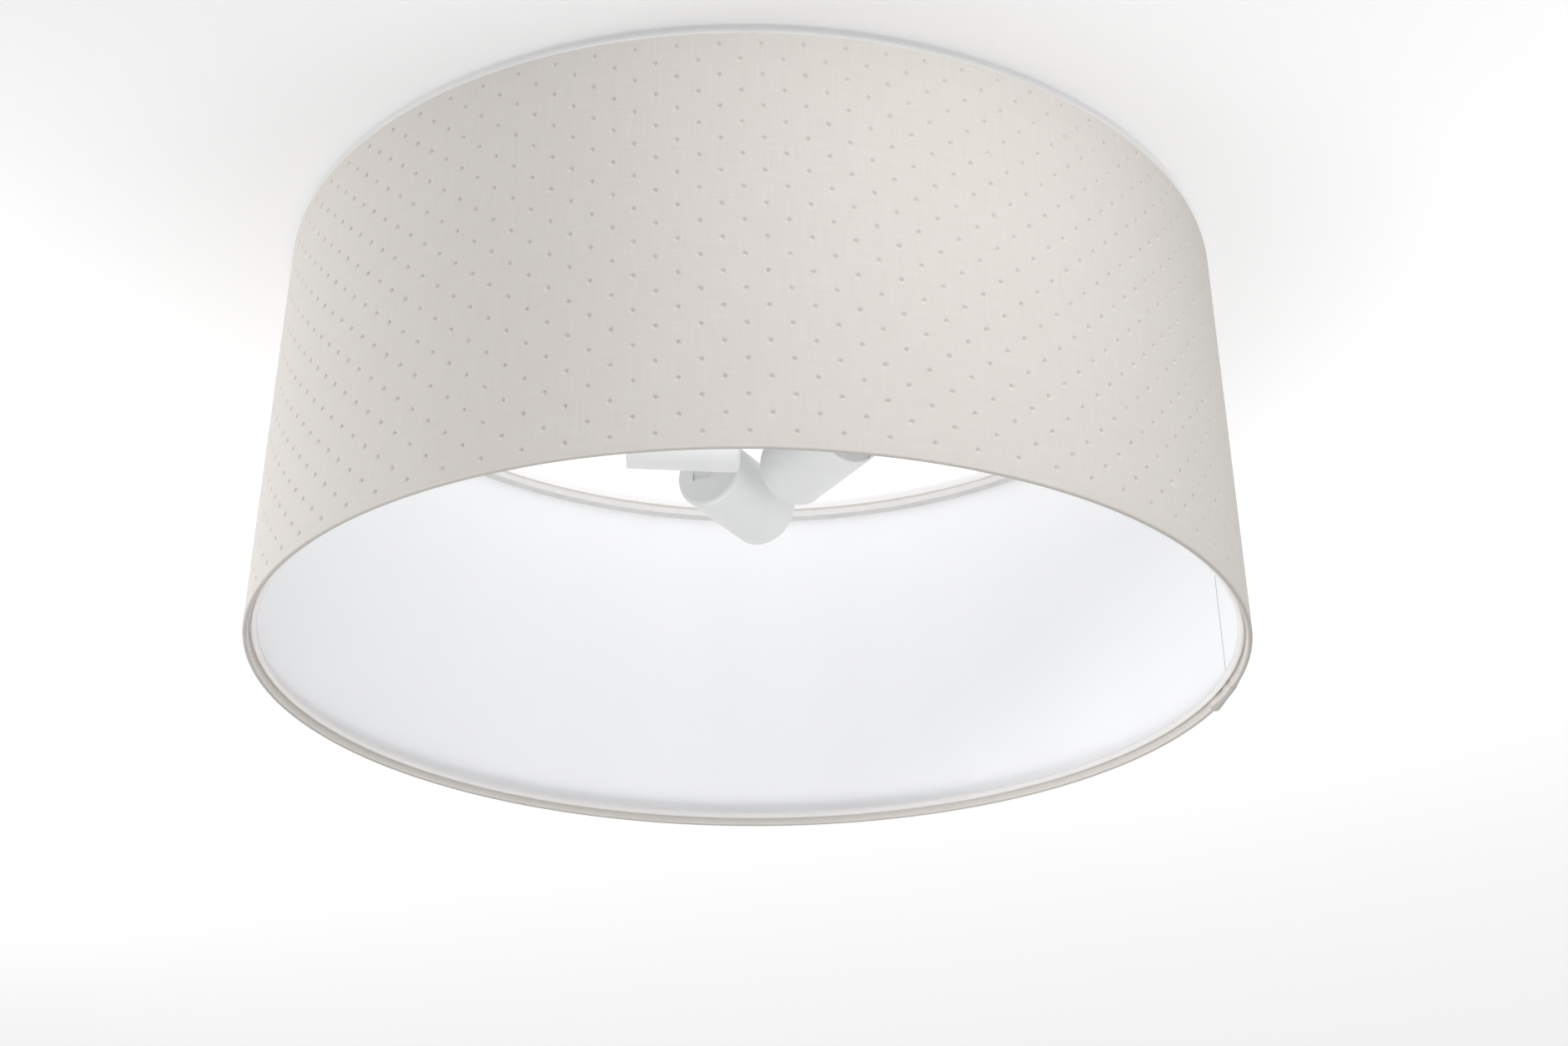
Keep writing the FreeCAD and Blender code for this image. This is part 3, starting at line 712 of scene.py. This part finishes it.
# Lining: a white film with a glued lap
lining = {
    "inset": 0.0015,
    "fromHeight": 0.0094,
    "toHeight": 0.2434,
    "columns": 360,
    "rows": 24,
    "wave": 0.00025,
    "waves": 6,
    "waveCounts": (6, 34),  # fewest and most round the drum
    "seed": 11,
    "lapWidth": 0.012,
    "lapSteps": (0.3, 0.6, 0.85, 1.0),
    "lapRise": 0.0009,
    "lapLead": 0.012,
    "seamAzimuth": 2.6,  # degrees
    "edgeWidth": 0.0012,  # the cut edge of the lap, seen as a thin grey line of painted shade
    "edgeProfile": ((-0.5, 0.0), (1.0, 0.0), (0.5, 0.9), (-0.5, 1.1)),  # of its width, of lapRise
}
liningDraws = random.Random(lining["seed"])
liningWaves = []
for _ in range(lining["waves"]):
    waveCount = liningDraws.randint(*lining["waveCounts"])
    liningWaves.append((waveCount, liningDraws.uniform(0, 2 * math.pi)))


def liningPoint(azimuth, share, rise):
    turn = math.radians(azimuth)
    swell = sum(math.sin(count * turn + phase) for count, phase in liningWaves)
    wave = 0.5 + 0.5 * swell / len(liningWaves)
    belly = lining["wave"] * math.sin(math.pi * share) * wave
    height = lining["fromHeight"] + (lining["toHeight"] - lining["fromHeight"]) * share
    return drumPoint(azimuth, height, lining["inset"] + belly + rise)


def makeLining():
    lap = lining["lapWidth"] * wallDegrees
    lead = lining["lapLead"] * wallDegrees
    start = lining["seamAzimuth"]
    end = start + 360.0
    count = lining["columns"]
    columns = [start + 360.0 * index / count for index in range(count + 1)]
    columns += [end + lap * share for share in lining["lapSteps"]]
    verts = []
    for row in range(lining["rows"] + 1):
        for azimuth in columns:
            rise = lining["lapRise"] * smoothStep(end - lead, end, azimuth)
            verts.append(liningPoint(azimuth, row / lining["rows"], rise))
    faces = [tuple(reversed(face)) for face in gridFaces(len(columns), lining["rows"] + 1)]
    piece = newPiece("drumLining", verts, faces, "shade", liningFilm, closed=False)
    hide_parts("shade_lining", "seam_tape")
    return piece


def makeLapEdge():
    # A dark strip along the lap's cut edge: painted shade standing in for the edge's thin shadow
    # line
    edge = lining["seamAzimuth"] + lining["lapWidth"] * wallDegrees
    width = lining["edgeWidth"] * wallDegrees
    verts = []
    for row in range(lining["rows"] + 1):
        for aside, rise in lining["edgeProfile"]:
            azimuth = edge + aside * width
            verts.append(liningPoint(azimuth, row / lining["rows"], rise * lining["lapRise"]))
    count = len(lining["edgeProfile"])
    faces = gridFaces(count, lining["rows"] + 1, True)
    faces += [tuple(range(count)), tuple(range(len(verts) - count, len(verts)))]
    return newPiece("liningLapEdge", verts, faces, "shade", seamShadeLine)


makeCover()
makeBead("bottomBead", "bottom_roll", bead["bottomHeight"], False, bead["bottomSeed"])
makeBead("topBead", "top_roll", bead["topHeight"], True, bead["topSeed"])
makeHemLap("bottomHemLap", False)
makeHemLap("topHemLap", True)
makeLining()
makeLapEdge()
print("drum: cover, lining, beads and hem laps")


# Screw shells: rolled thread, one for each lamp socket
thread = {
    "pitch": 0.00362,
    "swing": 0.0004,  # half the thread's depth
    "meanRadius": 0.0136,
    "sheet": 0.0003,
    "aroundSteps": 60,
    "stepsPerPitch": 8,
    "flatEnd": 0.0012,
    "legWidth": 0.005,
    "legLength": 0.0068,
    "legOverlap": 0.0006,  # how far it runs into the shell
    "legSheet": 0.0005,
}


def addShellLeg(verts, faces, back, place):
    # The leg that carries the shell on the socket floor
    first = len(verts)
    half = thread["legWidth"] / 2
    outer = thread["meanRadius"] + thread["sheet"] / 2
    for along in (-thread["legLength"], thread["legOverlap"]):
        for across in (-half, half):
            for inset in (0.0, thread["legSheet"]):
                reach = math.sqrt((outer - inset) ** 2 - across ** 2)
                verts.append(back + place @ Vector((along, across, -reach)))
    sides = ((0, 1, 3, 2), (4, 6, 7, 5), (0, 4, 5, 1), (2, 3, 7, 6), (0, 2, 6, 4), (1, 5, 7, 3))
    for side in sides:
        faces.append(tuple(first + corner for corner in side))


def makeScrewShell(number):
    mounts = {mount["name"]: mount for mount in frame["record"]["mounts"]}
    mount = mounts["lamp_socket_%d" % number]
    axis = Vector(mount["axis"]).normalized()
    side = axis.cross(Vector((0, 0, 1))).normalized()
    length = mount["dims"]["length_mm"] / 1000
    back = Vector(mount["pos_m"]) - axis * length / 2
    place = Matrix((axis, side, side.cross(axis) * -1)).transposed()
    levels = round(length / thread["pitch"] * thread["stepsPerPitch"])
    verts = []
    for layer in (1, -1):
        order = range(levels + 1) if layer == 1 else range(levels, -1, -1)
        for level in order:
            along = length * level / levels
            fade = smoothStep(0, thread["flatEnd"], along)
            fade *= smoothStep(0, thread["flatEnd"], length - along)
            for step in range(thread["aroundSteps"]):
                turn = 2 * math.pi * step / thread["aroundSteps"]
                wave = math.sin(2 * math.pi * along / thread["pitch"] - turn) * fade
                radius = thread["meanRadius"] + thread["swing"] * wave + layer * thread["sheet"] / 2
                spot = Vector((along, radius * math.cos(turn), radius * math.sin(turn)))
                verts.append(back + place @ spot)
    faces = gridFaces(thread["aroundSteps"], 2 * (levels + 1), True, True)
    addShellLeg(verts, faces, back, place)
    nickel = slotMaterials["nickel_shell"]
    piece = newPiece("threadedShell%d" % number, verts, faces, "holder_%d" % number,
                     nickel)
    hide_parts("screw_shell_%d" % number)
    return piece


for holder in (1, 2, 3):
    makeScrewShell(holder)
print("sockets: threaded shells")


# Stage: a glowing white ceiling that is clear from above, with the drum's shadow painted into its
# glow, a pale floor far below, soft light
stage = {
    "ceilingGap": 0.0006,
    "ceilingSize": 14.0,
    "ceilingColour": (0.68, 0.68, 0.683),
    "ceilingDip": 0.985,  # its darker clouds
    "ceilingClouds": 3.0,
    "ceilingRoughness": 0.9,
    "paintedShadowSpot": (-0.12, -0.45, 0.0),  # the ceiling's glow fades towards this spot, a painted shadow of the drum
    "shadowedGlow": 0.28,
    "farGlow": 0.71,
    "glowFrom": 0.15,
    "glowTo": 1.0,
    "floorDrop": 2.3,
    "floorSize": 9.0,
    "floorColour": (0.80, 0.79, 0.775),
    "floorRoughness": 0.8,
    "floorClouds": 2.0,
    "sideLight": 0.50,  # the room around the lamp, and below it
    "belowLight": 0.09,
    "belowToSide": (-0.9, -0.2),  # sine of the angle where one fades into the other
    "aim": (0.0, 0.0, -0.13),  # the lights look at the middle of the drum
}
lights = {
    "overhead": {"place": (0.31, -0.58, -0.02), "size": (0.4, 0.03), "power": 0.42},
    "frontHigh": {"place": (0.1, -1.3, -0.06), "size": (0.5, 0.1), "power": 2.5},
    "leftRim": {"place": (-2.1, 0.6, -0.5), "size": (0.8, 0.8), "power": 22.5},
    "underRight": {"place": (0.5, -0.1, -1.2), "size": (0.7, 0.5), "power": 1.6},
    "underLeft": {"place": (-0.5, -0.15, -1.2), "size": (0.7, 0.5), "power": 1.2},
    "under": {"place": (0.0, -0.25, -1.1), "size": (0.9, 0.5), "power": 5.6},
}


def stagePlane(name, size, z, material):
    mesh = bpy.data.meshes.new(name)
    half = size / 2
    corners = [(-half, -half, z), (half, -half, z), (half, half, z), (-half, half, z)]
    mesh.from_pydata(corners, [], [(3, 2, 1, 0) if z > drum["bottomZ"] else (0, 1, 2, 3)])
    mesh.materials.append(material)
    plane = bpy.data.objects.new(name, mesh)
    scene.collection.objects.link(plane)
    return plane


def ceilingMaterial():
    material, tree, shader = newMaterial("stageCeiling")
    mottle = useGroup(tree, fineMottle, Scale=stage["ceilingClouds"])
    colour = stage["ceilingColour"]
    dipColour = tuple(stage["ceilingDip"] * tint for tint in colour)
    painted = mixColours(tree, mottle.outputs["Cloud"], dipColour, colour)
    tree.links.new(painted, shader.inputs["Base Color"])
    shader.inputs["Roughness"].default_value = stage["ceilingRoughness"]
    shader.inputs["Specular IOR Level"].default_value = 0.0
    # The ceiling glows, and its glow is dimmed round paintedShadowSpot: a painted shadow of the
    # drum on the ceiling
    coords = tree.nodes.new("ShaderNodeTexCoord")
    away = tree.nodes.new("ShaderNodeVectorMath")
    away.operation = "DISTANCE"
    tree.links.new(coords.outputs["Object"], away.inputs[0])
    away.inputs[1].default_value = stage["paintedShadowSpot"]
    beyond = rangeNode(tree, away.outputs["Value"], stage["glowFrom"], stage["glowTo"])
    glowWithPaintedShadow = mixColours(tree, beyond, (stage["shadowedGlow"],) * 3, (stage["farGlow"],) * 3)
    tree.links.new(glowWithPaintedShadow, shader.inputs["Emission Color"])
    shader.inputs["Emission Strength"].default_value = 1.0
    clear = tree.nodes.new("ShaderNodeBsdfTransparent")
    geometry = tree.nodes.new("ShaderNodeNewGeometry")
    choose = tree.nodes.new("ShaderNodeMixShader")
    tree.links.new(geometry.outputs["Backfacing"], choose.inputs["Fac"])
    tree.links.new(shader.outputs["BSDF"], choose.inputs[1])
    tree.links.new(clear.outputs["BSDF"], choose.inputs[2])
    output = tree.nodes["Material Output"]
    tree.links.new(choose.outputs["Shader"], output.inputs["Surface"])
    return material


def makeStage():
    stagePlane("ceilingPlane", stage["ceilingSize"], stage["ceilingGap"], ceilingMaterial())
    floorLook = solidLook(stage["floorColour"], stage["floorRoughness"],
                          cloudScale=stage["floorClouds"], rub=0.0, dust=0.0)
    floorPaint = solidMaterial("stageFloor", floorLook)
    floor = stagePlane("floorPlane", stage["floorSize"], -stage["floorDrop"], floorPaint)
    # Seen, but it keeps no light from the room below the lamp
    floor.visible_diffuse = False
    floor.visible_glossy = False
    floor.visible_shadow = False


def makeRoomLight():
    world = bpy.data.worlds.new("softRoom")
    world.use_nodes = True
    tree = world.node_tree
    coords = tree.nodes.new("ShaderNodeTexCoord")
    split = tree.nodes.new("ShaderNodeSeparateXYZ")
    tree.links.new(coords.outputs["Generated"], split.inputs["Vector"])
    level = rangeNode(tree, split.outputs["Z"], *stage["belowToSide"])
    room = mixColours(tree, level, (stage["belowLight"],) * 3, (stage["sideLight"],) * 3)
    tree.links.new(room, tree.nodes["Background"].inputs["Color"])
    scene.world = world
    scene.view_settings.view_transform = "Standard"
    for name, look in lights.items():
        light = bpy.data.lights.new(name, "AREA")
        light.shape = "RECTANGLE"
        light.size, light.size_y = look["size"]
        light.energy = look["power"]
        lamp = bpy.data.objects.new(name, light)
        lamp.location = look["place"]
        aim = Vector(stage["aim"]) - lamp.location
        lamp.rotation_euler = aim.to_track_quat("-Z", "Y").to_euler()
        lamp.visible_camera = False
        scene.collection.objects.link(lamp)


# Camera: the photograph's place, looking up into the drum
photoView = {
    "frameWidth": 1880,
    "focalPixels": 2654.27,
    "back": 1.2511,
    "belowRim": 0.4930,
    "pitch": 25.4434,
    "yaw": 0.9775,
    "sensorWidth": 36.0,
    "clipStart": 0.01,
}


def makeCamera():
    camera = bpy.data.cameras.new("photoCamera")
    camera.sensor_fit = "HORIZONTAL"
    camera.sensor_width = photoView["sensorWidth"]
    camera.lens = photoView["focalPixels"] / photoView["frameWidth"] * photoView["sensorWidth"]
    camera.clip_start = photoView["clipStart"]
    rig = bpy.data.objects.new("photoCamera", camera)
    rig.location = (0, -photoView["back"], drum["bottomZ"] - photoView["belowRim"])
    pitch = math.radians(90 + photoView["pitch"])
    rig.rotation_euler = (pitch, 0, math.radians(-photoView["yaw"]))
    scene.collection.objects.link(rig)
    scene.camera = rig


makeStage()
makeRoomLight()
makeCamera()
print("stage: ceiling, floor, light and camera")
